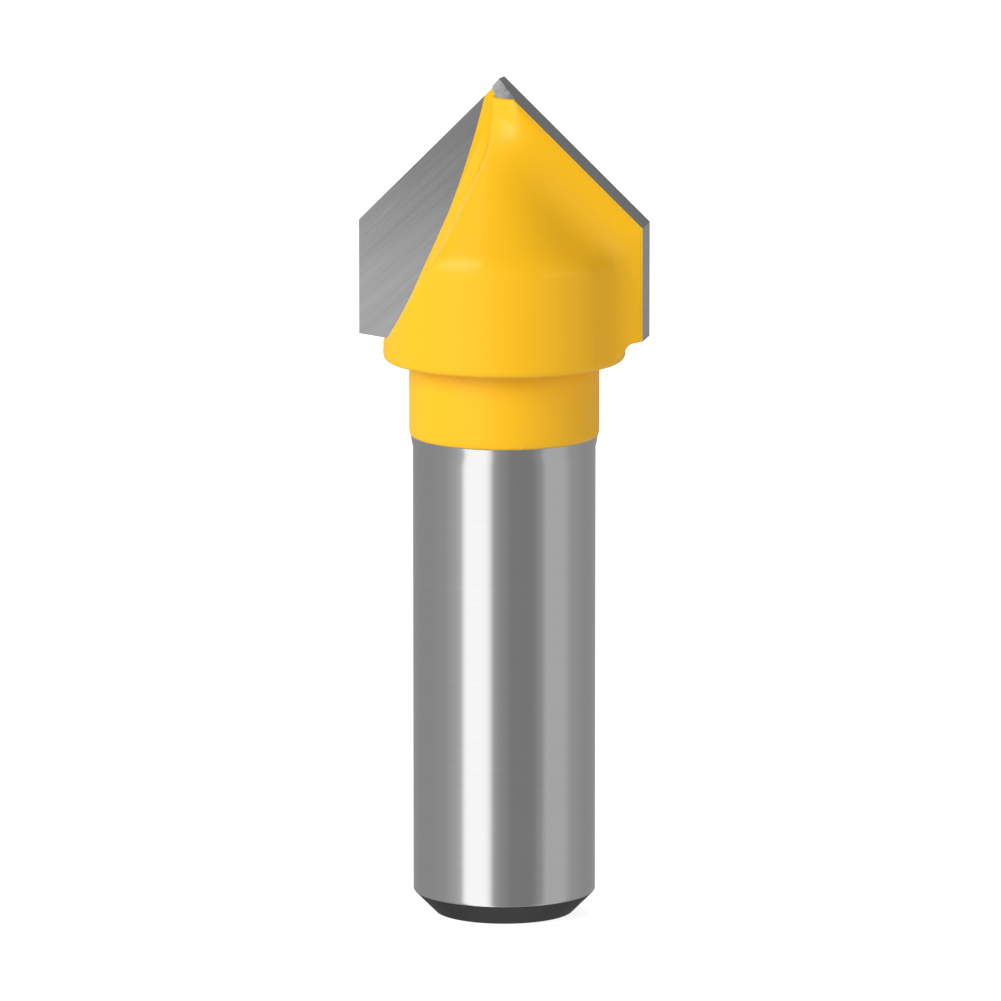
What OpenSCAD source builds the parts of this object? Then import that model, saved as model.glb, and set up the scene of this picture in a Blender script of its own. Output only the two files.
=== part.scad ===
// V groove router bit: a turned steel body with a straight shank and two brazed carbide blades.
// The origin is the centre of the shank's end face. The axis is Z and the point is at the top.
// The blades stand along X. Each module draws the +X side and a half turn about Z gives the other.

/* [Shank] */
// Diameter of the ground shank that the collet grips
shank_d = 12; // [10:0.1:14]
// Length of the ground shank, from its end face to the taper of the neck
shank_l = 31.1; // [25:0.1:40]
// Leg of the 45 degree chamfer round the end of the shank
shank_chamfer = 1.45; // [0.5:0.05:2]

/* [Neck] */
// Diameter of the neck
neck_d = 12.5; // [11:0.1:14]
// Length of the taper from the shank out to the neck
taper_l = 1.1; // [0.5:0.1:3]
// Length of the neck between the taper and the head
neck_l = 4.7; // [2:0.1:10]

/* [Head] */
// Diameter of the cylindrical part of the head
head_d = 15.9; // [15:0.1:17]
// Length of the cylindrical part of the head
head_l = 7.45; // [6:0.05:9]
// Angle between the cone of the head and the axis
cone_angle = 36.5; // [34:0.5:38]
// Edge break round the underside of the head
rim_break = 0.2; // [0.1:0.05:0.5]
// Distance from the cutting point down to the flat end of the steel
nose_drop = 1.2; // [0.8:0.1:2]

/* [Cutting edges] */
// Diameter over the two blades
cut_d = 19.05; // [18:0.05:20]
// Included angle of the groove that the bit cuts
v_angle = 90; // [86:1:94]
// Height of the cutting point over the apex of the cone of the head
point_rise = 0.5; // [0.3:0.1:1]
// Height of the lower outer corner of a blade over the underside of the head
blade_lift = 1.6; // [1.2:0.1:3]
// Fall of the lower edge of a blade towards the head
lower_edge_angle = 9.3; // [0:0.1:15]
// Relief angle behind the cutting edges
relief_angle = 10.6; // [6:0.1:14]

/* [Blades] */
// Thickness of a carbide blade
blade_t = 2; // [1.5:0.1:2.5]
// Distance that the front blade reaches past the axis at the point, where the rear one ends
point_lap = 0.75; // [0.5:0.05:1]
// Depth of the lower inner corner of a blade inside the head
heel_bite = 0.55; // [0.45:0.05:0.8]
// Distance from the axis to the facet on the back of a blade
point_facet_x = 0.95; // [0.6:0.05:1.4]
// Angle of that facet to the blade
point_facet_angle = 36; // [30:1:45]
// Film of braze between a blade and its seat
braze_gap = 0.05; // [0.02:0.01:0.1]

/* [Gullets] */
// Radius of the disc cutter that mills the gullets
gullet_r = 60; // [40:1:80]
// Corner radius of that cutter, left between gullet floor and wall
gullet_corner = 0.8; // [0.4:0.1:1.2]
// Bevel of that cutter's rim, by which the wall leans over the floor
gullet_lean = 4.5; // [0:0.5:6]
// Half the thickness of the web that joins the two sides at the point
web_half = 0.85; // [0.6:0.05:1.2]
// Distance from the cutting point down to where the gullet meets the web
web_drop = 4.6; // [4:0.1:6]

/* [Ground rake faces] */
// Radius of the wheel that grinds the rake faces through the enamel
grind_r = 60; // [50:1:70]
// Distance from the axis to the upper end of its arc, on the sloping edge
grind_top = 1.25; // [1:0.05:1.5]
// Distance from the axis to the lower end of its arc, on the lower edge
grind_foot = 7.65; // [7.4:0.05:7.75]
// Distance from that lower end in to the gullet's wall
grind_gap = 0.05; // [0.02:0.01:0.1]

/* [Wing backs] */
// Depth of the steel wing behind its blade, at the nose
wing_depth = 1.3; // [1.1:0.05:1.5]
// Depth of the steel wing behind its blade, at its root in the head
wing_root = 2.4; // [2:0.1:2.8]
// Steel left square behind the back edge of a blade
land = 0.15; // [0.1:0.05:0.3]
// Steel left in front of the facet at the point
nose_skin = 0.3; // [0.2:0.05:0.5]
// Fall of the back of a wing from its edge inwards
wing_lead = 15; // [10:1:20]
// Angle to the blade of the wall that the cove runs into
wall_angle = 57; // [52:1:60]
// Radius of the cove between the back of a wing and that wall
cove_r = 3; // [2.5:0.1:3.4]
// Distance from the sloping edge to the start of its cove
slope_cove = 1.3; // [1:0.05:1.6]
// Distance from the upright edge to the start of its cove
side_cove = 0.25; // [0.15:0.05:0.5]
// Depth of the foot of the sloping hollow below the base of the cone, at the axis
foot_drop = 0.4; // [0.2:0.05:0.6]
// Rise of that foot outwards
foot_angle = 5.5; // [3:0.5:8]
// Fillet between the underside of a wing and the head
wing_fillet = 0.8; // [0.5:0.05:1.1]

/* [Hidden] */
$fn = 96;

shank_r = shank_d / 2;
neck_r = neck_d / 2;
head_r = head_d / 2;
cut_r = cut_d / 2;
slope = v_angle / 2;

neck_z = shank_l + taper_l;
head_z = neck_z + neck_l;
cone_z = head_z + head_l;
apex_z = cone_z + head_r / tan(cone_angle);
point_z = apex_z + point_rise;
nose_z = point_z - nose_drop;
shoulder_z = point_z - cut_r / tan(slope);
blade_z = head_z + blade_lift;
web_z = point_z - web_drop;
reach = 2 * head_d;

// Height of a blade's lower edge at a distance from the axis
function lower_edge(x) = blade_z - (cut_r - x) * tan(lower_edge_angle);

// Set-back of the relieved faces at a depth behind the rake face
function relief(depth) = depth * tan(relief_angle);

// Centre of an arc of radius r through p and q, on the side away from the axis
function arc_centre(p, q, r) = let (
    chord = q - p,
    half = norm(chord) / 2,
    across = [chord[1], -chord[0]] / norm(chord))
    (p + q) / 2 + across * sqrt(r * r - half * half);

heel = [head_r - heel_bite, lower_edge(head_r - heel_bite)];

// Upper inner corner of a blade that reaches a distance past the axis
function lap_top(lap) = [-lap, point_z - lap / tan(slope)];

grind_low = [grind_foot, lower_edge(grind_foot)];
grind_high = [grind_top, point_z - grind_top / tan(slope)];
grind_c = arc_centre(grind_low, grind_high, grind_r);
gullet_c = arc_centre(grind_low - [grind_gap, 0], [web_half, web_z], gullet_r);

back_x = cut_r - relief(blade_t + land);
back_y = blade_t + land;
wing_y = blade_t + wing_depth;
root_y = blade_t + wing_root;

// Upright slab of a 2D outline drawn in X and Z, between two depths behind the rake face
module slab(near, far) {
    rotate([90, 0, 0])
        translate([0, 0, near])
            linear_extrude(far - near)
                children();
}

// Frame of the sloping edge: X runs down the edge from the point, Z stands out of the flank
module on_slope() {
    translate([0, 0, point_z])
        rotate([0, 90 - slope, 0])
            children();
}

// All that lies outside the relieved flank behind the sloping edge
module outside_flank() {
    on_slope()
        rotate([relief_angle, 0, 0])
            translate([-reach, -reach, 0])
                cube([2 * reach, 2 * reach, reach]);
}

// All that lies outside the relieved face behind the upright edge
module outside_side() {
    translate([cut_r, 0, 0])
        rotate([0, 0, -relief_angle])
            translate([0, -reach, 0])
                cube([reach, 2 * reach, 2 * point_z]);
}

// All that lies beyond the facet at the point, moved out by a skin
module beyond_facet(skin) {
    translate([point_facet_x, -blade_t, 0])
        rotate([0, 0, 180 - point_facet_angle])
            translate([-reach, skin, 0])
                cube([2 * reach, reach, 2 * point_z]);
}

// Carbide blade on the +X side, its rake face in the plane of the axis
module blade(lap) {
    top = point_z + blade_t;
    difference() {
        slab(0, blade_t)
            polygon([heel, [cut_r, blade_z], [cut_r, top], [-lap, top], lap_top(lap)]);
        outside_flank();
        rotate([0, 0, 180])
            outside_flank();
        outside_side();
        beyond_facet(0);
    }
}

// Pocket that takes a blade, a braze film larger at its floor and inner edge
module blade_seat(lap) {
    edge = lap_top(lap) - heel;
    inward = [-edge[1], edge[0]] * braze_gap / norm(edge);
    top = point_z + blade_t;
    difference() {
        slab(0, blade_t + braze_gap)
            translate(inward)
                polygon([heel, [reach, lower_edge(reach)], [reach, top], [-lap, top], lap_top(lap)]);
        beyond_facet(braze_gap);
    }
}

// Turned blank: shank, taper, neck and head, with a cone that ends on a flat as wide as the web
module turned_blank() {
    rotate_extrude()
        polygon([
            [0, 0],
            [shank_r - shank_chamfer, 0],
            [shank_r, shank_chamfer],
            [shank_r, shank_l],
            [neck_r, neck_z],
            [neck_r, head_z],
            [head_r - rim_break, head_z],
            [head_r, head_z + rim_break],
            [head_r, cone_z],
            [web_half, apex_z - web_half / tan(cone_angle)],
            [0, apex_z - web_half / tan(cone_angle)]
        ]);
}

// Section of the cutter that shapes the back of a wing. X runs outwards from the back edge, Y is
// the depth in front of it, and the cove starts at a distance inwards from the edge
module back_cutter(start) {
    fall = tan(wing_lead);
    begin = [-start, -start * fall];
    centre = begin + cove_r * [sin(wing_lead), -cos(wing_lead)];
    finish = centre + cove_r * [-sin(wall_angle), cos(wall_angle)];
    far = finish - reach * [cos(wall_angle), sin(wall_angle)];
    polygon([begin, [reach, reach * fall], [reach, far[1]], far, finish, centre]);
    translate(centre)
        circle(cove_r);
}

// Hollow milled along the sloping edge, down to a foot that rises outwards
module slope_hollow() {
    intersection() {
        on_slope()
            translate([-reach, -back_y, -relief(back_y)])
                rotate([90, 0, 90])
                    linear_extrude(3 * reach)
                        mirror([1, -1])
                            back_cutter(slope_cove);
        translate([0, 0, cone_z - foot_drop])
            rotate([0, -foot_angle, 0])
                translate([-reach, -reach, 0])
                    cube([2 * reach, 2 * reach, 2 * reach]);
    }
}

// Hollow milled along the upright edge
module side_hollow() {
    translate([back_x, -back_y, 0])
        linear_extrude(2 * point_z)
            back_cutter(side_cove);
}

// Steel wing that backs a blade, from the nose down to its filleted underside
module wing_back() {
    foot_x = head_r + wing_fillet;
    foot_z = lower_edge(foot_x) - wing_fillet / cos(lower_edge_angle);
    inner = head_r / 2;
    difference() {
        union() {
            slab(0, wing_y)
                polygon([
                    [-point_lap, lower_edge(-point_lap)],
                    [cut_r, blade_z],
                    [cut_r, nose_z],
                    [-point_lap, nose_z]
                ]);
            slab(blade_t, root_y)
                difference() {
                    polygon([
                        [inner, foot_z],
                        [foot_x, foot_z],
                        [foot_x, lower_edge(foot_x)],
                        [cut_r, blade_z],
                        [cut_r, shoulder_z],
                        [inner, shoulder_z]
                    ]);
                    translate([foot_x, foot_z])
                        circle(wing_fillet);
                }
        }
        beyond_facet(nose_skin);
        outside_side();
    }
}

// Gullet in front of a rake face, milled by a disc with a bevelled rim and a rounded corner
module gullet() {
    run = gullet_corner / tan(45 - gullet_lean / 2);
    centre = [gullet_r - run, gullet_corner];
    up = [-sin(gullet_lean), cos(gullet_lean)];
    intersection() {
        translate([gullet_c[0], 0, gullet_c[1]])
            rotate([-90, 0, 0])
                rotate_extrude($fn = 720)
                    union() {
                        polygon([
                            [0, 0],
                            [centre[0], 0],
                            centre,
                            [gullet_r, 0] + run * up,
                            [gullet_r, 0] + reach * up,
                            [0, (reach * up)[1]]
                        ]);
                        translate(centre)
                            circle(gullet_corner, $fn = 48);
                    }
        translate([web_half, -reach, 0])
            cube([2 * reach, 3 * reach, 2 * point_z]);
    }
}

// Steel that the grinding of a rake face takes off the foot of the gullet's wall
module rake_grind() {
    translate([grind_c[0], 0, grind_c[1]])
        rotate([-90, 0, 0])
            cylinder(2 * gullet_corner, r = grind_r, $fn = 720);
}

// One steel piece: the turned blank with its two wings, gullets, hollows and seats
module body() {
    color("gold")
        difference() {
            union() {
                turned_blank();
                for (side = [0, 180])
                    rotate([0, 0, side])
                        wing_back();
            }
            for (side = [0, 180])
                rotate([0, 0, side]) {
                    gullet();
                    rake_grind();
                    outside_flank();
                    slope_hollow();
                    side_hollow();
                }
            blade_seat(point_lap);
            rotate([0, 0, 180])
                blade_seat(0);
        }
}

// Blade whose back faces the front
module carbide_blade_front() {
    color("dimgray")
        blade(point_lap);
}

// Blade whose rake face faces the front
module carbide_blade_rear() {
    color("gray")
        rotate([0, 0, 180])
            blade(0);
}

body();
carbide_blade_front();
carbide_blade_rear();
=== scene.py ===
"""V groove router bit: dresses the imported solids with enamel, ground steel and ground carbide.

Sizes in the dataclasses are in millimetres and follow the solids. The scene is in metres.
"""

import logging
import math
from dataclasses import dataclass, field
from enum import Enum

import bmesh
import bpy
import numpy as np
from mathutils import Matrix, Vector
from mathutils.bvhtree import BVHTree

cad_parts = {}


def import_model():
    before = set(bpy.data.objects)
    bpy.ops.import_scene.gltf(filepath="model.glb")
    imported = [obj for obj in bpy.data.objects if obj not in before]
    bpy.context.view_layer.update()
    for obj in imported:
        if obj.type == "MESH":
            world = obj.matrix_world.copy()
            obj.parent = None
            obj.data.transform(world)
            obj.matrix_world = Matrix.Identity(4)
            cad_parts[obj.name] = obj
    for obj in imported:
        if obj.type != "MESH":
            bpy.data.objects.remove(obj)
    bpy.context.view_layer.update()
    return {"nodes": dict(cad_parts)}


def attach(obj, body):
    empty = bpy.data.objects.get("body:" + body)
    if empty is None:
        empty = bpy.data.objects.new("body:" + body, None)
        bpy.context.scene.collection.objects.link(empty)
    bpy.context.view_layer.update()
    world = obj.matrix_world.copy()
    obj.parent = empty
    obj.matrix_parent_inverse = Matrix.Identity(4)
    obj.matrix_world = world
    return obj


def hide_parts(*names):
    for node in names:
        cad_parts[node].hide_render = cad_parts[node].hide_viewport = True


MM = 0.001
BODY = "root"

# Height of the enamel's lower edge
PAINT_Z = 31.88
# Height of the cutting point
POINT_Z = 55.594
# Leg of the chamfer round the end of the shank
CHAMFER = 1.45

logging.basicConfig(level=logging.INFO, format="%(name)s: %(message)s")
log = logging.getLogger("router_bit")

Colour = tuple[float, float, float]
Pair = tuple[float, float]
Outline = list[Pair]
Socket = bpy.types.NodeSocket
Value = float | Socket
Shade = tuple[float, float, float, float] | Socket


class Visibility(Enum):
    """Which rays a part of the studio shows itself to."""

    FLOOR = "floor"
    REFLECTOR = "reflector"


class Side(Enum):
    """The two sides of the bit, which are half a turn apart."""

    FRONT = "front"
    REAR = "rear"


# Nodes


class Sheet:
    """A node sheet that is filled in from left to right."""

    spacing: float = 190.0

    def __init__(self, tree: bpy.types.NodeTree) -> None:
        """Keep the tree that the nodes go into.

        Args:
            tree: the material's, world's or geometry's node tree.
        """
        self.tree = tree
        self.column = 0

    def add(self, kind: str, inputs: dict | None = None, **settings: object) -> bpy.types.Node:
        """Add one node, set its properties and fill or link its inputs.

        Args:
            kind: the node's type name.
            inputs: values or output sockets by the input's name or number.
            **settings: properties of the node itself.

        Returns:
            The new node.
        """
        node = self.tree.nodes.new(kind)
        node.location = (self.column * self.spacing, 0.0)
        self.column += 1
        for name, value in settings.items():
            setattr(node, name, value)
        for key, value in (inputs or {}).items():
            if isinstance(value, Socket):
                self.tree.links.new(value, node.inputs[key])
            else:
                node.inputs[key].default_value = value
        return node

    def math(
        self, operation: str, first: Value, second: Value = 0.0, third: Value = 0.0
    ) -> Socket:
        """Add a Math node and return its result.

        Args:
            operation: the Math node's operation.
            first: value or socket.
            second: value or socket.
            third: value or socket.

        Returns:
            The node's output socket.
        """
        node = self.add("ShaderNodeMath", {0: first, 1: second, 2: third}, operation=operation)
        return node.outputs[0]

    def step(self, value: Value, band: Pair) -> Socket:
        """Smooth step of a value from 0 at the start of a band to 1 at its end."""
        node = self.add(
            "ShaderNodeMapRange",
            {"Value": value, "From Min": band[0], "From Max": band[1]},
            interpolation_type="SMOOTHSTEP",
        )
        return node.outputs["Result"]

    def mix_colour(self, factor: Value, first: Shade, second: Shade) -> Socket:
        """Mix two colours and return the result.

        Args:
            factor: value or socket.
            first: colour or socket at 0.
            second: colour or socket at 1.

        Returns:
            The mixed colour's socket.
        """
        node = self.add("ShaderNodeMix", {0: factor, 6: first, 7: second}, data_type="RGBA")
        return node.outputs[2]

    def noise(
        self, place: Socket, scale: float, detail: float = 2.0, rough: float = 0.5
    ) -> Socket:
        """Noise at a place, with its scale in waves per metre of the given coordinates."""
        node = self.add(
            "ShaderNodeTexNoise",
            {"Vector": place, "Scale": scale, "Detail": detail, "Roughness": rough},
        )
        return node.outputs[0]

    def mapped(self, place: Socket, scale: Colour, turn: Colour = (0.0, 0.0, 0.0)) -> Socket:
        """Turn a place, then stretch it.

        Args:
            place: the coordinates.
            scale: factor along each axis.
            turn: angle about each axis in radians.

        Returns:
            The changed coordinates.
        """
        turned = self.add("ShaderNodeMapping", {"Vector": place, "Rotation": turn})
        stretched = self.add("ShaderNodeMapping", {"Vector": turned.outputs[0], "Scale": scale})
        return stretched.outputs[0]

    def bump(
        self, height: Socket, strength: float, depth: float, under: Socket | None = None
    ) -> Socket:
        """Raise a surface by a height.

        Args:
            height: the pattern to raise.
            strength: share of the depth that shows.
            depth: depth of the pattern in millimetres.
            under: normal of a coarser bump that this one lies on.

        Returns:
            The raised normal.
        """
        inputs = {"Strength": strength, "Distance": depth * MM, "Height": height}
        if under is not None:
            inputs["Normal"] = under
        return self.add("ShaderNodeBump", inputs).outputs[0]

    def mix_value(self, factor: Value, first: Value, second: Value) -> Socket:
        """Mix two numbers and return the result."""
        node = self.add("ShaderNodeMix", {0: factor, 2: first, 3: second}, data_type="FLOAT")
        return node.outputs[0]


def rgba(colour: Colour) -> tuple[float, float, float, float]:
    """A colour with full alpha."""
    return (*colour, 1.0)


def scaled(values: tuple[float, ...], factor: float) -> tuple[float, ...]:
    """A colour made lighter or darker, or lengths in another unit."""
    return tuple(factor * value for value in values)


def new_material(name: str) -> tuple[bpy.types.Material, Sheet, bpy.types.Node]:
    """Make an empty material with its shader linked to its output.

    Args:
        name: the material's name.

    Returns:
        The material, its sheet and its Principled shader.
    """
    material = bpy.data.materials.new(name)
    material.use_nodes = True
    material.node_tree.nodes.clear()
    sheet = Sheet(material.node_tree)
    shader = sheet.add("ShaderNodeBsdfPrincipled")
    sheet.add("ShaderNodeOutputMaterial", {"Surface": shader.outputs[0]})
    return material, sheet, shader


# Finishes


@dataclass(frozen=True)
class EnamelFinish:
    """Yellow enamel, sprayed thick, with a soft gloss and a little flow in its surface.

    The deeper yellow drifts in as clouds, and the hollows and creases are darkened towards it as
    painted shade. Scales are in waves per metre, depths in millimetres.
    """

    name: str = "yellow_enamel"
    light: Colour = (0.84, 0.462, 0.003)
    # Deeper yellow of the clouds, and also the colour of the painted shade in hollows
    deep_and_shade: Colour = (0.82, 0.405, 0.002)
    roughness: float = 0.42
    coat: float = 0.04
    coat_roughness: float = 0.22
    specular: float = 0.30
    cloud_scale: float = 160.0
    cloud_drift: float = 0.35
    cloud_roughness: float = 0.10
    grain_scale: float = 1500.0
    grain_roughness: float = 0.05
    # Reach and band of the painted shade that darkens hollows and creases
    painted_shade_reach: float = 2.4
    painted_shade_band: Pair = (0.35, 0.95)
    flow_scale: float = 420.0
    flow_depth: float = 0.03
    grain_depth: float = 0.01
    relief: float = 0.10

    def build(self) -> bpy.types.Material:
        """Make the enamel's material.

        Returns:
            The finished material.
        """
        material, sheet, shader = new_material(self.name)
        place = sheet.add("ShaderNodeTexCoord").outputs["Object"]
        cloud = sheet.noise(place, self.cloud_scale, 2.0)
        grain = sheet.noise(place, self.grain_scale, 3.0, 0.6)
        # Painted shade: ambient occlusion darkens the enamel towards its deeper yellow in hollows and
        # creases
        hollow = sheet.add(
            "ShaderNodeAmbientOcclusion", {"Distance": self.painted_shade_reach * MM}, samples=12
        ).outputs["AO"]
        shade = sheet.step(hollow, self.painted_shade_band)
        drift = sheet.math("MULTIPLY", cloud, self.cloud_drift)
        mixed = sheet.mix_colour(drift, rgba(self.light), rgba(self.deep_and_shade))
        colour = sheet.mix_colour(shade, rgba(self.deep_and_shade), mixed)
        least = self.roughness - self.cloud_roughness / 2.0
        low = sheet.math("MULTIPLY_ADD", cloud, self.cloud_roughness, least)
        rough = sheet.math("MULTIPLY_ADD", grain, self.grain_roughness, low)
        flow = sheet.noise(place, self.flow_scale, 2.0)
        ripple = sheet.bump(flow, self.relief, self.flow_depth)
        peel = sheet.bump(grain, self.relief, self.grain_depth, ripple)
        links = sheet.tree.links
        links.new(colour, shader.inputs["Base Color"])
        links.new(rough, shader.inputs["Roughness"])
        links.new(peel, shader.inputs["Normal"])
        shader.inputs["Coat Weight"].default_value = self.coat
        shader.inputs["Coat Roughness"].default_value = self.coat_roughness
        shader.inputs["Specular IOR Level"].default_value = self.specular
        return material


@dataclass(frozen=True)
class GroundSteelFinish:
    """Shank steel ground round its axis, with a dark, unground chamfer.

    The rings are noise stretched along the axis, fine ones and broad ones.
    """

    bright: Colour = (0.64, 0.64, 0.64)
    dull: Colour = (0.60, 0.60, 0.60)
    oxide: Colour = (0.027, 0.027, 0.028)
    fleck_colour: float = 2.2
    roughness: float = 0.115
    ring_roughness: float = 0.04
    broad_roughness: float = 0.03
    oxide_roughness: float = 0.38
    fleck_roughness: float = 0.15
    anisotropy: float = 0.55
    ring_stretch: Colour = (90.0, 90.0, 9000.0)
    broad_stretch: Colour = (60.0, 60.0, 700.0)
    fleck_scale: float = 2600.0
    scratch_relief: float = 0.04
    scratch_depth: float = 0.001
    ground_band: Pair = (CHAMFER - 0.035, CHAMFER + 0.005)

    def build(self) -> bpy.types.Material:
        """Make the shank's material.

        Returns:
            The finished material.
        """
        material, sheet, shader = new_material("ground_steel")
        place = sheet.add("ShaderNodeTexCoord").outputs["Object"]
        rings = sheet.noise(sheet.mapped(place, self.ring_stretch), 1.0, 3.0, 0.6)
        broad = sheet.noise(sheet.mapped(place, self.broad_stretch), 1.0, 2.0)
        fleck = sheet.noise(place, self.fleck_scale, 3.0, 0.65)
        height = sheet.add("ShaderNodeSeparateXYZ", {0: place}).outputs["Z"]
        ground = sheet.step(height, scaled(self.ground_band, MM))
        steel = sheet.mix_colour(rings, rgba(self.dull), rgba(self.bright))
        flecked = rgba(scaled(self.oxide, self.fleck_colour))
        dark = sheet.mix_colour(fleck, rgba(self.oxide), flecked)
        colour = sheet.mix_colour(ground, dark, steel)
        least = self.roughness - (self.ring_roughness + self.broad_roughness) / 2.0
        fine = sheet.math("MULTIPLY_ADD", rings, self.ring_roughness, least)
        worn = sheet.math("MULTIPLY_ADD", broad, self.broad_roughness, fine)
        bare = sheet.math("MULTIPLY_ADD", fleck, self.fleck_roughness, self.oxide_roughness)
        rough = sheet.mix_value(ground, bare, worn)
        scratch = sheet.bump(rings, self.scratch_relief, self.scratch_depth)
        tangent = sheet.add("ShaderNodeTangent", direction_type="RADIAL", axis="Z")
        links = sheet.tree.links
        links.new(colour, shader.inputs["Base Color"])
        links.new(rough, shader.inputs["Roughness"])
        links.new(scratch, shader.inputs["Normal"])
        links.new(tangent.outputs[0], shader.inputs["Tangent"])
        shader.inputs["Metallic"].default_value = 1.0
        shader.inputs["Anisotropic"].default_value = self.anisotropy
        return material


@dataclass(frozen=True)
class GroundCarbideFinish:
    """Carbide with the slanting marks that a diamond wheel leaves on it.

    The rake face is painted brighter towards its foot as painted reflection, the sloping flank is
    painted darker than the upright one as painted shade, and the facet at the point is left
    unground, with painted light towards one side of it. Each band is the start and the end of a
    smooth step: the facing bands run over one component of the direction that a face looks in.
    """

    # Painted reflection: the rake face is lighter at its foot and darker towards the point
    foot: Colour = (0.77, 0.77, 0.77)
    point: Colour = (0.44, 0.44, 0.44)
    # Painted shade: the sloping flank takes a darker copy of the upright side's grey
    flank: Colour = (0.30, 0.31, 0.31)
    side: Colour = (0.50, 0.51, 0.51)
    facet: Colour = (0.40, 0.40, 0.40)
    roughness: float = 0.19
    facet_roughness: float = 0.62
    streak_angle: float = 47.0
    painted_reflection_heights: Pair = (38.5, 54.0)
    painted_shade_facing: Pair = (0.3, 0.5)
    rake_facing: Pair = (0.90, 0.97)
    facet_facing: Pair = (0.60, 0.70)
    fine_stretch: Colour = (3600.0, 1500.0, 80.0)
    fine_share: float = 0.14
    fine_roughness: float = 0.08
    broad_stretch: Colour = (800.0, 400.0, 45.0)
    broad_share: float = 0.26
    rare_stretch: Colour = (2200.0, 900.0, 130.0)
    rare_band: Pair = (0.66, 0.80)
    rare_share: float = 0.16
    unmarked: float = 0.80
    cloud_scale: float = 140.0
    cloud_roughness: float = 0.06
    mottle_scale: float = 2600.0
    mottle_band: Pair = (0.25, 1.15)
    # Painted light: the facet is lighter towards one side, across facet_width
    facet_width: Pair = (-0.9, 0.7)
    facet_painted_light: float = 0.5
    facet_dull: float = 0.42
    scratch_relief: float = 0.05
    scratch_depth: float = 0.002

    def build(self) -> bpy.types.Material:
        """Make the carbide's material.

        The marks slant the same way on both blades, so they are laid out on the distance from
        the axis. Which face a point is on comes from the direction that the face looks in.

        Returns:
            The finished material.
        """
        material, sheet, shader = new_material("ground_carbide")
        coordinates = sheet.add("ShaderNodeTexCoord").outputs
        place = coordinates["Object"]
        split = sheet.add("ShaderNodeSeparateXYZ", {0: place})
        facing = sheet.add("ShaderNodeSeparateXYZ", {0: coordinates["Normal"]}).outputs
        outward = sheet.math("ABSOLUTE", split.outputs["X"])
        mirrored = sheet.add(
            "ShaderNodeCombineXYZ", {"X": outward, "Y": split.outputs["Y"], "Z": split.outputs["Z"]}
        ).outputs[0]
        turn = (0.0, math.radians(self.streak_angle), 0.0)
        fine = sheet.noise(sheet.mapped(mirrored, self.fine_stretch, turn), 1.0, 2.0)
        broad = sheet.noise(sheet.mapped(mirrored, self.broad_stretch, turn), 1.0, 2.0)
        rare = sheet.noise(sheet.mapped(mirrored, self.rare_stretch, turn), 1.0, 1.0)
        cloud = sheet.noise(place, self.cloud_scale, 2.0)
        mottle = sheet.noise(place, self.mottle_scale, 3.0, 0.6)

        # Painted reflection: the rake face's grey runs from light at the foot to dark at the point
        rise = sheet.step(split.outputs["Z"], scaled(self.painted_reflection_heights, MM))
        rake = sheet.mix_colour(rise, rgba(self.foot), rgba(self.point))
        # Painted shade: faces that look upwards are given the darker flank grey
        painted_shade_upward = sheet.step(facing["Z"], self.painted_shade_facing)
        edge_face_painted_shade = sheet.mix_colour(painted_shade_upward, rgba(self.side), rgba(self.flank))
        square = sheet.math("ABSOLUTE", facing["Y"])
        on_rake = sheet.step(square, self.rake_facing)
        on_facet = sheet.math("SUBTRACT", sheet.step(square, self.facet_facing), on_rake)
        plain = sheet.mix_colour(on_rake, edge_face_painted_shade, rake)
        hatch = sheet.math("MULTIPLY", fine, self.fine_share)
        marks = sheet.math("MULTIPLY_ADD", broad, self.broad_share, hatch)
        lines = sheet.math("MULTIPLY", sheet.step(rare, self.rare_band), self.rare_share)
        level = sheet.math("ADD", sheet.math("ADD", marks, lines), self.unmarked)
        dimmed = sheet.add(
            "ShaderNodeVectorMath", {0: plain, "Scale": level}, operation="SCALE"
        ).outputs[0]
        # Painted light: the facet grows lighter across its width, added to its mottle
        lean = sheet.math("MULTIPLY", split.outputs["X"], sheet.math("SIGN", split.outputs["Y"]))
        across = sheet.step(lean, scaled(self.facet_width, MM))
        mottle_and_painted_light = sheet.math("MULTIPLY_ADD", across, self.facet_painted_light, mottle)
        dull = rgba(scaled(self.facet, self.facet_dull))
        speckled = sheet.mix_colour(sheet.step(mottle_and_painted_light, self.mottle_band), dull, rgba(self.facet))
        colour = sheet.mix_colour(on_facet, dimmed, speckled)

        least = self.roughness - self.fine_roughness / 2.0
        low = sheet.math("MULTIPLY_ADD", fine, self.fine_roughness, least)
        ground = sheet.math("MULTIPLY_ADD", cloud, self.cloud_roughness, low)
        rough = sheet.mix_value(on_facet, ground, self.facet_roughness)
        scratch = sheet.bump(fine, self.scratch_relief, self.scratch_depth)
        links = sheet.tree.links
        links.new(colour, shader.inputs["Base Color"])
        links.new(rough, shader.inputs["Roughness"])
        links.new(scratch, shader.inputs["Normal"])
        shader.inputs["Metallic"].default_value = 1.0
        return material


# Meshes


def new_object(name: str, data: bpy.types.ID) -> bpy.types.Object:
    """Link a mesh, lamp or camera into the scene as an object at the origin.

    Args:
        name: the object's name.
        data: what the object holds.

    Returns:
        The new object.
    """
    item = bpy.data.objects.new(name, data)
    bpy.context.scene.collection.objects.link(item)
    return item


def baked(item: bpy.types.Object) -> None:
    """Replace an object's mesh by its evaluated one and remove its modifiers.

    Args:
        item: the object to make plain.
    """
    bpy.context.view_layer.update()
    graph = bpy.context.evaluated_depsgraph_get()
    final = item.evaluated_get(graph)
    mesh = bpy.data.meshes.new_from_object(final, preserve_all_data_layers=True, depsgraph=graph)
    item.modifiers.clear()
    item.data = mesh


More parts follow.
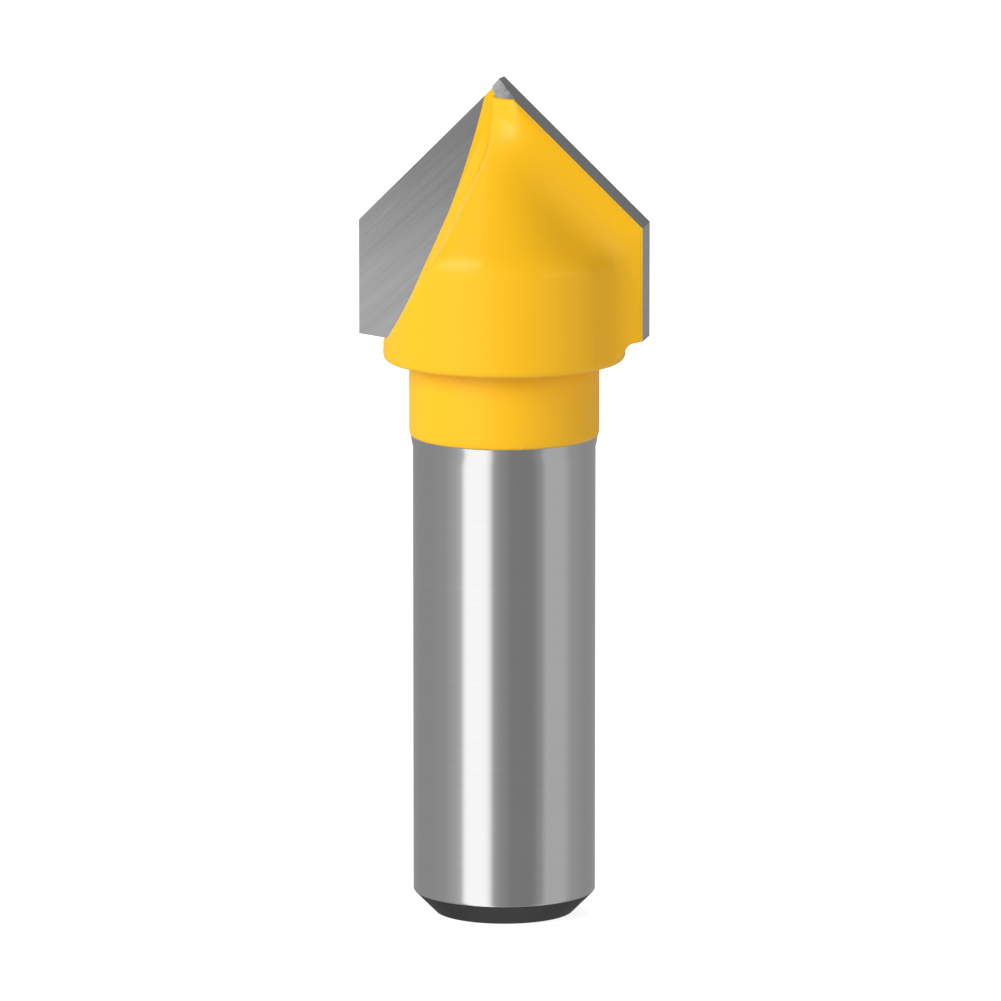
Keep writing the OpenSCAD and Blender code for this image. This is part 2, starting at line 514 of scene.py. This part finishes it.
def close_up(work: bmesh.types.BMesh) -> None:
    """Fill a mesh's open rims and turn its faces outwards.

    Args:
        work: the mesh, whose doubles are merged already.
    """
    rims = [edge for edge in work.edges if edge.is_boundary]
    if rims:
        bmesh.ops.holes_fill(work, edges=rims, sides=0)
    bmesh.ops.recalc_face_normals(work, faces=work.faces)


def dress(item: bpy.types.Object, material: bpy.types.Material, smooth: bool = True) -> None:
    """Give an object one material and its shading.

    Args:
        item: the object.
        material: its finish.
        smooth: whether its faces are shaded smooth.
    """
    item.data.materials.clear()
    item.data.materials.append(material)
    item.data.polygons.foreach_set("use_smooth", [smooth] * len(item.data.polygons))
    item.data.update()


# The bit


@dataclass
class Shank:
    """Ground shank, swept as one straight line whose circle changes with its height.

    Attributes:
        film: how far its hidden top end lies inside the enamel.
        softness: rounding between the chamfer and the ground cylinder.
        crowding: power that crowds the rings towards the chamfer.
    """

    radius: float = 6.0
    length: float = 31.1
    chamfer: float = CHAMFER
    neck_radius: float = 6.25
    taper: float = 1.1
    paint_z: float = PAINT_Z
    film: float = 0.03
    softness: float = 0.08
    crowding: float = 1.8
    rings: int = 150
    segments: int = 192
    finish: GroundSteelFinish = field(default_factory=GroundSteelFinish)

    def tree(self, material: bpy.types.Material) -> bpy.types.NodeTree:
        """Write the geometry tree that sweeps the shank.

        Args:
            material: the finish that the tree sets.

        Returns:
            The node group.
        """
        tree = bpy.data.node_groups.new("shank_lathe", "GeometryNodeTree")
        face = tree.interface
        face.new_socket("Geometry", in_out="INPUT", socket_type="NodeSocketGeometry")
        for name in ("Radius", "Length", "Chamfer", "Neck radius", "Taper", "Top", "Softness", "Film"):
            face.new_socket(name, in_out="INPUT", socket_type="NodeSocketFloat")
        for name in ("Rings", "Segments"):
            face.new_socket(name, in_out="INPUT", socket_type="NodeSocketInt")
        face.new_socket("Geometry", in_out="OUTPUT", socket_type="NodeSocketGeometry")
        sheet = Sheet(tree)
        given = sheet.add("NodeGroupInput").outputs
        line = sheet.add("GeometryNodeCurvePrimitiveLine", {"Start": (0, 0, 0), "End": (0, 0, 1)})
        many = sheet.add(
            "GeometryNodeResampleCurve", {"Curve": line.outputs[0], "Count": given["Rings"]}
        )
        share = sheet.add("GeometryNodeSplineParameter").outputs["Factor"]
        height = sheet.math("MULTIPLY", sheet.math("POWER", share, self.crowding), given["Top"])
        place = sheet.add("ShaderNodeCombineXYZ", {"Z": height}).outputs[0]
        placed = sheet.add(
            "GeometryNodeSetPosition", {"Geometry": many.outputs[0], "Position": place}
        )
        now = sheet.add("GeometryNodeInputPosition").outputs[0]
        level = sheet.add("ShaderNodeSeparateXYZ", {0: now}).outputs["Z"]
        bevel = sheet.math("ADD", sheet.math("SUBTRACT", given["Radius"], given["Chamfer"]), level)
        straight = sheet.math("SMOOTH_MIN", bevel, given["Radius"], given["Softness"])
        rise = sheet.math("DIVIDE", sheet.math("SUBTRACT", level, given["Length"]), given["Taper"])
        growth = sheet.math("SUBTRACT", given["Neck radius"], given["Radius"])
        swell = sheet.math("MULTIPLY", sheet.math("MAXIMUM", rise, 0.0), growth)
        below = sheet.math("SUBTRACT", given["Top"], sheet.math("MULTIPLY", given["Film"], 4.0))
        under = sheet.math("MULTIPLY", sheet.math("GREATER_THAN", level, below), given["Film"])
        size = sheet.math("SUBTRACT", sheet.math("ADD", straight, swell), under)
        ring = sheet.add(
            "GeometryNodeCurvePrimitiveCircle", {"Resolution": given["Segments"], "Radius": 1.0}
        )
        swept = sheet.add(
            "GeometryNodeCurveToMesh",
            {
                "Curve": placed.outputs[0],
                "Profile Curve": ring.outputs[0],
                "Scale": size,
                "Fill Caps": True,
            },
        )
        real = sheet.add("GeometryNodeRealizeInstances", {"Geometry": swept.outputs[0]})
        coated = sheet.add(
            "GeometryNodeSetMaterial", {"Geometry": real.outputs[0], "Material": material}
        )
        sheet.add("NodeGroupOutput", {0: coated.outputs[0]})
        return tree

    def build(self) -> bpy.types.Object:
        """Sweep the shank and dress it.

        Returns:
            The finished piece.
        """
        material = self.finish.build()
        item = new_object("ground_shank", bpy.data.meshes.new("ground_shank"))
        modifier = item.modifiers.new("lathe", "NODES")
        modifier.node_group = self.tree(material)
        values = {
            "Radius": self.radius * MM,
            "Length": self.length * MM,
            "Chamfer": self.chamfer * MM,
            "Neck radius": self.neck_radius * MM,
            "Taper": self.taper * MM,
            "Top": self.paint_z * MM,
            "Softness": self.softness * MM,
            "Film": self.film * MM,
            "Rings": self.rings,
            "Segments": self.segments,
        }
        for socket in modifier.node_group.interface.items_tree:
            if socket.in_out == "INPUT" and socket.name in values:
                modifier[socket.identifier] = values[socket.name]
        baked(item)
        self.square_caps(item.data)
        dress(item, material)
        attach(item, BODY)
        log.info("%s: %d faces", item.name, len(item.data.polygons))
        return item

    def square_caps(self, mesh: bpy.types.Mesh) -> None:
        """Merge the swept mesh, close its ends and turn its faces outwards.

        Args:
            mesh: the swept shank.
        """
        work = bmesh.new()
        work.from_mesh(mesh)
        bmesh.ops.remove_doubles(work, verts=work.verts, dist=0.001 * MM)
        close_up(work)
        work.to_mesh(mesh)
        work.free()


@dataclass
class PaintedHead:
    """Neck, head, cone and wings under their thick coat of enamel.

    Attributes:
        settle: passes that soften every edge.
        flow: passes that round the cone, above flow_from, fading in over flow_fade.
        pool: passes that fill the hollow behind each blade, below pool_to, fading out over
            pool_fade, and across pool_side, measured from the axis.
        rim_fade: height over which the edge of the paint stays crisp.
        keep_near_blade: distance from a blade within which the surface stays put.
        blade_foot: height below which no blade is near.
    """

    paint_z: float = PAINT_Z
    voxel: float = 0.15
    settle: int = 3
    flow: int = 90
    pool: int = 420
    flow_from: float = 43.6
    flow_fade: float = 1.5
    pool_to: float = 53.0
    pool_fade: float = 3.0
    pool_side: Pair = (-1.0, 1.5)
    rim_fade: float = 0.5
    keep_near_blade: float = 0.45
    blade_foot: float = 36.0
    finish: EnamelFinish = field(default_factory=EnamelFinish)

    def cut_copy(self, node: bpy.types.Object) -> bpy.types.Object:
        """Copy the steel body, merge it and keep what lies above the paint's edge.

        Args:
            node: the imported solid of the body.

        Returns:
            The closed upper part as a new object.
        """
        work = bmesh.new()
        work.from_mesh(node.data)
        bmesh.ops.remove_doubles(work, verts=work.verts, dist=0.0005 * MM)
        everything = [*work.verts, *work.edges, *work.faces]
        bmesh.ops.bisect_plane(
            work,
            geom=everything,
            dist=0.0001 * MM,
            plane_co=(0.0, 0.0, self.paint_z * MM),
            plane_no=(0.0, 0.0, 1.0),
            clear_inner=True,
        )
        close_up(work)
        mesh = bpy.data.meshes.new("painted_head")
        work.to_mesh(mesh)
        work.free()
        return new_object("painted_head", mesh)

    def relax(self, mesh: bpy.types.Mesh, blades: list[bpy.types.Object]) -> None:
        """Let the enamel's surface flow, most of all round the cone, and pool in the hollows.

        Args:
            mesh: the remeshed head.
            blades: the solids of the blades, beside which the surface stays put.
        """
        count = len(mesh.vertices)
        place = np.zeros(count * 3)
        mesh.vertices.foreach_get("co", place)
        place = place.reshape(-1, 3)
        edges = np.zeros(len(mesh.edges) * 2, int)
        mesh.edges.foreach_get("vertices", edges)
        first, second = edges.reshape(-1, 2).T
        degree = np.bincount(first, minlength=count) + np.bincount(second, minlength=count)
        hold = np.ones(count)
        for blade in blades:
            hold = np.minimum(hold, self.near(place, blade))
        height = place[:, 2] / MM
        rim = np.clip((height - self.paint_z) / self.rim_fade, 0.0, 1.0)
        upper = np.clip((height - self.flow_from) / self.flow_fade, 0.0, 1.0)
        below_nose = np.clip((self.pool_to - height) / self.pool_fade, 0.0, 1.0)
        behind = -np.sign(place[:, 1]) * place[:, 0] / MM
        start, end = self.pool_side
        hollow = upper * below_nose * np.clip((behind - start) / (end - start), 0.0, 1.0)
        weights = [rim] * self.settle + [rim * upper] * self.flow + [rim * hollow] * self.pool
        for weight in weights:
            mean = np.empty_like(place)
            for axis in range(3):
                along = place[:, axis]
                total = np.bincount(first, along[second], count)
                total += np.bincount(second, along[first], count)
                mean[:, axis] = total / degree
            place = place + (mean - place) * (0.5 * hold * weight)[:, None]
        mesh.vertices.foreach_set("co", place.ravel())
        mesh.update()

    def near(self, place: np.ndarray, blade: bpy.types.Object) -> np.ndarray:
        """How free each point is of a blade, from 0 beside it to 1 away from it.

        Args:
            place: points in metres.
            blade: the blade's solid.

        Returns:
            One factor for each point.
        """
        work = bmesh.new()
        work.from_mesh(blade.data)
        tree = BVHTree.FromBMesh(work)
        band = self.keep_near_blade * MM
        factor = np.ones(len(place))
        for index, point in enumerate(place):
            if point[2] < self.blade_foot * MM:
                continue
            hit = tree.find_nearest(Vector(point), 4.0 * band)
            if hit[0] is not None:
                factor[index] = min(1.0, max(0.0, hit[3] / band - 0.35))
        work.free()
        return factor

    def build(self, node: bpy.types.Object, blades: list[bpy.types.Object]) -> bpy.types.Object:
        """Make the painted head from the body's solid and dress it.

        Args:
            node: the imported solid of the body.
            blades: the solids of the blades.

        Returns:
            The finished piece.
        """
        item = self.cut_copy(node)
        remesh = item.modifiers.new("even", "REMESH")
        remesh.mode = "VOXEL"
        remesh.voxel_size = self.voxel * MM
        baked(item)
        self.relax(item.data, blades)
        dress(item, self.finish.build())
        item.visible_glossy = False
        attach(item, BODY)
        log.info("%s: %d faces", item.name, len(item.data.polygons))
        return item


def new_plate(
    name: str, near: Outline, far: Outline, depths: Pair, side: Side
) -> bpy.types.Object:
    """Make a thin plate that stands along the blades.

    Args:
        name: the piece's name.
        near: corners of one face, in X and Z on the +X side.
        far: as many corners of the other face.
        depths: where the two faces lie in Y.
        side: the side that the plate is on.

    Returns:
        The new object.
    """
    turn = 1.0 if side is Side.FRONT else -1.0
    work = bmesh.new()
    rings = [
        [work.verts.new((turn * x * MM, turn * y * MM, z * MM)) for x, z in outline]
        for outline, y in zip((near, far), depths)
    ]
    for ring in rings:
        work.faces.new(ring)
    for index in range(len(near)):
        work.faces.new((rings[0][index - 1], rings[0][index], rings[1][index], rings[1][index - 1]))
    bmesh.ops.recalc_face_normals(work, faces=work.faces)
    bmesh.ops.triangulate(work, faces=[f for f in work.faces if len(f.verts) > 4])
    mesh = bpy.data.meshes.new(name)
    work.to_mesh(mesh)
    work.free()
    return new_object(name, mesh)


@dataclass
class PaintedWeb:
    """Enamel left on a blade's rake face between the grinding's arc and the gullet's wall.

    Attributes:
        low: lower end of the arc in X and Z.
        high: upper end of the arc.
        low_gap: gap between the film and the lower end.
        high_gap: gap between the film and the sloping edge.
        tip_x: distance from the axis to the film's end at the point.
        width: width of the film at the top, and twice its width at the foot.
    """

    arc_radius: float = 60.0
    low: Pair = (7.65, 38.193)
    high: Pair = (1.25, 54.344)
    low_gap: float = 0.03
    high_gap: float = 0.02
    tip_x: float = 0.25
    width: float = 1.6
    film: float = 0.03
    steps: int = 64
    finish: EnamelFinish = EnamelFinish("thin_enamel", (0.86, 0.52, 0.004), (0.84, 0.50, 0.004))

    def centre(self) -> Pair:
        """Centre of the grinding's arc in X and Z.

        Returns:
            The centre, on the side away from the axis.
        """
        run, rise = self.high[0] - self.low[0], self.high[1] - self.low[1]
        chord = math.hypot(run, rise)
        height = math.sqrt(self.arc_radius**2 - (chord / 2) ** 2)
        x_middle = (self.low[0] + self.high[0]) / 2
        z_middle = (self.low[1] + self.high[1]) / 2
        return x_middle + rise / chord * height, z_middle - run / chord * height

    def arc_x(self, z: float) -> float:
        """Distance of the grinding's arc from the axis at a height."""
        x_centre, z_centre = self.centre()
        return x_centre - math.sqrt(self.arc_radius**2 - (z - z_centre) ** 2)

    def outline(self) -> Outline:
        """Outline of the film in X and Z on the +X side.

        Returns:
            The corners in order.
        """
        arc: Outline = []
        inner: Outline = []
        first = self.low[1] + self.low_gap
        rise = self.high[1] - self.high_gap - first
        for step in range(self.steps + 1):
            share = step / self.steps
            z = first + rise * share
            x = self.arc_x(z)
            arc.append((x, z))
            inner.append((x - self.width * (0.5 + 0.5 * share), z))
        corner = (self.tip_x, POINT_Z - self.tip_x - self.high_gap)
        inner[-1] = (min(self.tip_x, inner[-1][0]), self.high[1])
        return [*arc, corner, *reversed(inner)]

    def build(self, side: Side, material: bpy.types.Material) -> bpy.types.Object:
        """Make the film on one side and dress it.

        Args:
            side: the side that the film lies on.
            material: the thin enamel.

        Returns:
            The finished piece.
        """
        outline = self.outline()
        name = f"painted_web_{side.value}"
        item = new_plate(name, outline, outline, (0.0, self.film), side)
        dress(item, material, smooth=False)
        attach(item, BODY)
        log.info("%s: %d faces", item.name, len(item.data.polygons))
        return item


@dataclass
class GroundStrip:
    """Braze and steel ground flush between the rear blade's inner edge and the grinding's arc.

    Attributes:
        web: the film whose arc the strip follows.
        heel: lower inner corner of the blade in X and Z.
        overlap: how far the strip reaches under the film and over the blade.
    """

    web: PaintedWeb
    heel: Pair = (7.4, 38.152)
    low_z: float = 39.5
    high_z: float = 49.6
    overlap: float = 0.12
    film: float = 0.015
    steps: int = 48

    def outline(self) -> Outline:
        """Outline of the strip in X and Z on the +X side.

        Returns:
            The corners in order.
        """
        inner: Outline = []
        outer: Outline = []
        for step in range(self.steps + 1):
            z = self.low_z + (self.high_z - self.low_z) * step / self.steps
            arc = self.web.arc_x(z)
            edge = self.heel[0] * (POINT_Z - z) / (POINT_Z - self.heel[1])
            inner.append((arc - self.overlap, z))
            outer.append((max(arc, edge) + self.overlap, z))
        return [*outer, *reversed(inner)]

    def build(self, material: bpy.types.Material) -> bpy.types.Object:
        """Make the strip and dress it.

        Args:
            material: the finish of the ground rake face.

        Returns:
            The finished piece.
        """
        outline = self.outline()
        item = new_plate("ground_strip", outline, outline, (0.0, self.film), Side.REAR)
        dress(item, material, smooth=False)
        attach(item, BODY)
        log.info("%s: %d faces", item.name, len(item.data.polygons))
        return item


@dataclass
class PaintedLand:
    """Crisp enamelled edge of a wing, right behind the back edge of its blade.

    Attributes:
        low_z: height of the lower outer corner of the blade.
        depths: where the edge's two faces lie behind the rake face.
        set_in: how far it stays inside the relieved faces.
        top_x: distance from the axis to its upper end, at its outer and inner side.
    """

    cut_radius: float = 9.525
    low_z: float = 38.5
    low_angle: float = 9.3
    relief_angle: float = 10.6
    depths: Pair = (2.0, 2.14)
    set_in: float = 0.012
    width: float = 0.45
    top_x: Pair = (0.67, 1.05)

    def outline(self, depth: float) -> Outline:
        """Outline of the edge at a depth behind the rake face.

        Args:
            depth: distance from the rake face.

        Returns:
            The corners in X and Z on the +X side, outer ones first.
        """
        back = depth * math.tan(math.radians(self.relief_angle)) + self.set_in
        rows: list[Outline] = []
        for inset, top in zip((back, back + self.width), self.top_x):
            x = self.cut_radius - inset
            foot = self.low_z + self.set_in - inset * math.tan(math.radians(self.low_angle))
            line = POINT_Z - inset * math.sqrt(2.0)
            rows.append([(x, foot), (x, line - x), (top, line - top)])
        return [*rows[0], *reversed(rows[1])]

    def build(self, side: Side, material: bpy.types.Material) -> bpy.types.Object:
        """Make the edge on one side and dress it.

        Args:
            side: the side that the wing is on.
            material: the enamel.

        Returns:
            The finished piece.
        """
        near, far = (self.outline(depth) for depth in self.depths)
        name = f"painted_land_{side.value}"
        item = new_plate(name, near, far, (-self.depths[0], -self.depths[1]), side)
        dress(item, material, smooth=False)
        item.visible_glossy = False
        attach(item, BODY)
        log.info("%s: %d faces", item.name, len(item.data.polygons))
        return item


@dataclass
class Blades:
    """The two carbide blades, whose solids stay as they are."""

    finish: GroundCarbideFinish = field(default_factory=GroundCarbideFinish)

    def build(self, nodes: dict[str, bpy.types.Object]) -> list[bpy.types.Object]:
        """Dress both blades.

        Args:
            nodes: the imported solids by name.

        Returns:
            The blades' objects.
        """
        material = self.finish.build()
        made = []
        for side in Side:
            blade = nodes[f"carbide_blade_{side.value}"]
            blade.data.materials.clear()
            blade.data.materials.append(material)
            log.info("%s: dressed", blade.name)
            made.append(blade)
        return made


# The studio


def direction(azimuth: float, elevation: float) -> Vector:
    """Direction from the object to something that stands round it.

    Args:
        azimuth: angle from the -Y side to the right in degrees.
        elevation: angle over the horizon in degrees.

    Returns:
        The direction, one metre long.
    """
    a, e = math.radians(azimuth), math.radians(elevation)
    return Vector((math.sin(a) * math.cos(e), -math.cos(a) * math.cos(e), math.sin(e)))


@dataclass(frozen=True)
class Lamp:
    """Soft square lamp that points at the object.

    Azimuth runs from the -Y side to the right. Angles are in degrees, distance and size in
    metres and power in watts. Gloss shows the lamp only where it may shine.
    """

    name: str
    azimuth: float
    height: float
    distance: float
    size: float
    power: float
    shine: bool = False
    colour: Colour = (1.0, 1.0, 1.0)
    aim_z: float = 40.0

    def build(self) -> None:
        """Hang the lamp."""
        data = bpy.data.lights.new(self.name, "AREA")
        data.energy = self.power
        data.color = self.colour
        data.size = self.size
        lamp = new_object(self.name, data)
        way = direction(self.azimuth, self.height)
        lamp.location = Vector((0.0, 0.0, self.aim_z * MM)) + way * self.distance
        lamp.rotation_euler = way.to_track_quat("Z", "Y").to_euler()
        lamp.visible_glossy = self.shine
        log.info("%s: %.2f W", self.name, self.power)


@dataclass
class Studio:
    """White floor and surroundings, soft lamps, and grey and white cards in a ring.

    Attributes:
        ambient: strength of the surroundings as they light the object.
        floor_glow: light that the floor gives off to the camera.
        floor_shade: its grey under that glow, on which the object's shadow falls.
        cards: azimuth in degrees from the camera's side and brightness of each card.
    """

    ambient: float = 0.235
    floor_reach: float = 2.5
    floor_gap: float = 0.02
    floor_glow: float = 0.86
    floor_shade: float = 0.40
    ring_radius: float = 0.45
    ring_height: float = 1.6
    card_power: float = 2.0
    lamps: tuple[Lamp, ...] = (
        Lamp("key_left", -42.0, 26.0, 0.5, 0.35, 2.42, shine=True),
        Lamp("fill_right", 62.0, 18.0, 0.6, 0.40, 0.93, shine=True, colour=(1.0, 0.92, 0.80)),
        Lamp("side_left", -108.0, 10.0, 0.5, 0.25, 0.45),
        Lamp("back", 183.0, 30.0, 0.5, 0.30, 2.0),
    )
    cards: tuple[Pair, ...] = (
        (-180.0, 0.36),
        (-110.0, 0.37),
        (-85.0, 0.40),
        (-66.0, 0.50),
        (-56.0, 0.62),
        (-51.0, 1.40),
        (-46.0, 1.50),
        (-24.0, 1.50),
        (-19.0, 1.25),
        (-13.0, 0.46),
        (-3.0, 0.36),
        (11.0, 0.28),
        (35.0, 0.28),
        (46.0, 0.38),
        (55.0, 0.61),
        (78.0, 0.60),
        (97.0, 0.43),
        (125.0, 0.37),
        (180.0, 0.36),
    )
    camera_azimuth: float = 3.0

    def shown(self, sheet: Sheet) -> Socket:
        """Tell the rays that may see the white from those that light the object.

        Args:
            sheet: the sheet that the nodes go on.

        Returns:
            1 for camera, glossy and transmission rays, and 0 for the rest.
        """
        path = sheet.add("ShaderNodeLightPath").outputs
        some = sheet.math("MAXIMUM", path["Is Camera Ray"], path["Is Glossy Ray"])
        return sheet.math("MAXIMUM", some, path["Is Transmission Ray"])

    def world(self) -> None:
        """White surroundings to the camera and to gloss, and a lower even light on the object."""
        world = bpy.data.worlds.new("studio")
        bpy.context.scene.world = world
        world.use_nodes = True
        world.node_tree.nodes.clear()
        sheet = Sheet(world.node_tree)
        seen = self.shown(sheet)
        strength = sheet.mix_value(seen, self.ambient, 1.0)
        white = (1.0, 1.0, 1.0, 1.0)
        light = sheet.add("ShaderNodeBackground", {"Color": white, "Strength": strength})
        sheet.add("ShaderNodeOutputWorld", {"Surface": light.outputs[0]})

    def floor(self) -> None:
        """Plain white floor that keeps the object's soft shadow."""
        mesh = bpy.data.meshes.new("floor")
        far = self.floor_reach
        corners = [(-far, -far, 0.0), (far, -far, 0.0), (far, far, 0.0), (-far, far, 0.0)]
        mesh.from_pydata(corners, [], [(0, 1, 2, 3)])
        floor = new_object("floor", mesh)
        floor.location.z = -self.floor_gap * MM
        material = bpy.data.materials.new("white_floor")
        material.use_nodes = True
        material.node_tree.nodes.clear()
        sheet = Sheet(material.node_tree)
        matt = sheet.add("ShaderNodeBsdfDiffuse", {"Color": (0.85, 0.85, 0.85, 1.0)})
        shade = sheet.add("ShaderNodeBsdfDiffuse", {"Color": rgba((self.floor_shade,) * 3)})
        glow = sheet.add("ShaderNodeEmission", {"Strength": self.floor_glow})
        pale = sheet.add("ShaderNodeAddShader", {0: shade.outputs[0], 1: glow.outputs[0]})
        mixed = sheet.add(
            "ShaderNodeMixShader", {0: self.shown(sheet), 1: matt.outputs[0], 2: pale.outputs[0]}
        )
        sheet.add("ShaderNodeOutputMaterial", {"Surface": mixed.outputs[0]})
        material.cycles.emission_sampling = "NONE"
        floor.data.materials.append(material)
        self.limit(floor, Visibility.FLOOR)

    def ring(self) -> None:
        """Cards round the object, which only its gloss shows."""
        mesh = bpy.data.meshes.new("card_ring")
        work = bmesh.new()
        radius = self.ring_radius
        bmesh.ops.create_cone(
            work, segments=96, radius1=radius, radius2=radius, depth=self.ring_height
        )
        work.to_mesh(mesh)
        work.free()
        ring = new_object("card_ring", mesh)
        ring.rotation_euler.z = math.radians(self.camera_azimuth)
        material = bpy.data.materials.new("studio_cards")
        material.use_nodes = True
        material.node_tree.nodes.clear()
        sheet = Sheet(material.node_tree)
        place = sheet.add("ShaderNodeTexCoord").outputs["Object"]
        split = sheet.add("ShaderNodeSeparateXYZ", {0: place}).outputs
        back = sheet.math("MULTIPLY", split["Y"], -1.0)
        angle = sheet.math("ARCTAN2", split["X"], back)
        share = sheet.math("MULTIPLY_ADD", angle, 0.5 / math.pi, 0.5)
        ramp = sheet.add("ShaderNodeValToRGB", {0: share})
        ramp.color_ramp.interpolation = "EASE"
        stops = ramp.color_ramp.elements
        for index, (azimuth, level) in enumerate(self.cards):
            position = azimuth / 360.0 + 0.5
            stop = stops[index] if index < 2 else stops.new(position)
            stop.position = position
            stop.color = rgba((level / self.card_power,) * 3)
        glow = sheet.add(
            "ShaderNodeEmission", {"Color": ramp.outputs[0], "Strength": self.card_power}
        )
        sheet.add("ShaderNodeOutputMaterial", {"Surface": glow.outputs[0]})
        material.cycles.emission_sampling = "NONE"
        ring.data.materials.append(material)
        self.limit(ring, Visibility.REFLECTOR)

    def limit(self, item: bpy.types.Object, kind: Visibility) -> None:
        """Set which rays see a part of the studio.

        Args:
            item: the floor or the cards.
            kind: what the item is.
        """
        if kind is Visibility.FLOOR:
            item.visible_glossy = False
            return
        item.visible_camera = False
        item.visible_diffuse = False
        item.visible_shadow = False
        item.visible_transmission = False
        item.visible_volume_scatter = False

    def build(self) -> None:
        """Set up the floor, the surroundings, the cards and the lamps."""
        self.world()
        self.floor()
        self.ring()
        for lamp in self.lamps:
            lamp.build()
        log.info("studio: floor, surroundings, cards and %d lamps", len(self.lamps))


@dataclass
class Camera:
    """Camera of the photograph, fitted to the bit's outline."""

    azimuth: float = 3.0
    elevation: float = 10.38
    distance: float = 711.6
    pixels_per_mm: float = 15.226
    frame: int = 1001
    sensor: float = 36.0
    aim_z: float = 27.45
    axis_offset: float = 3.77

    def build(self) -> None:
        """Make the camera and let the scene use it."""
        turned = math.radians(self.azimuth)
        right = Vector((math.cos(turned), math.sin(turned), 0.0))
        back = direction(self.azimuth, self.elevation)
        up = back.cross(right)
        data = bpy.data.cameras.new("camera")
        data.sensor_width = self.sensor
        data.lens = self.pixels_per_mm * self.distance * self.sensor / self.frame
        data.clip_start = 0.05
        data.clip_end = 20.0
        camera = new_object("camera", data)
        aim = Vector((0.0, 0.0, self.aim_z)) - right * (self.axis_offset / self.pixels_per_mm)
        turn = Matrix((right, up, back)).transposed().to_4x4()
        camera.matrix_world = Matrix.Translation((aim + back * self.distance) * MM) @ turn
        bpy.context.scene.camera = camera
        log.info("camera: %.1f mm lens", data.lens)


def main() -> None:
    """Load the solids, dress them, and set up the studio and the camera."""
    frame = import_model()
    bpy.context.scene.view_settings.view_transform = "Standard"
    nodes = frame["nodes"]
    blades = Blades().build(nodes)
    head = PaintedHead().build(nodes["body"], blades)
    web = PaintedWeb()
    thin = web.finish.build()
    for side in Side:
        web.build(side, thin)
        PaintedLand().build(side, head.data.materials[0])
    GroundStrip(web).build(blades[0].data.materials[0])
    shank = Shank().build()
    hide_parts("body")
    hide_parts("body")
    Studio().build()
    Camera().build()


if __name__ == "__main__":
    main()
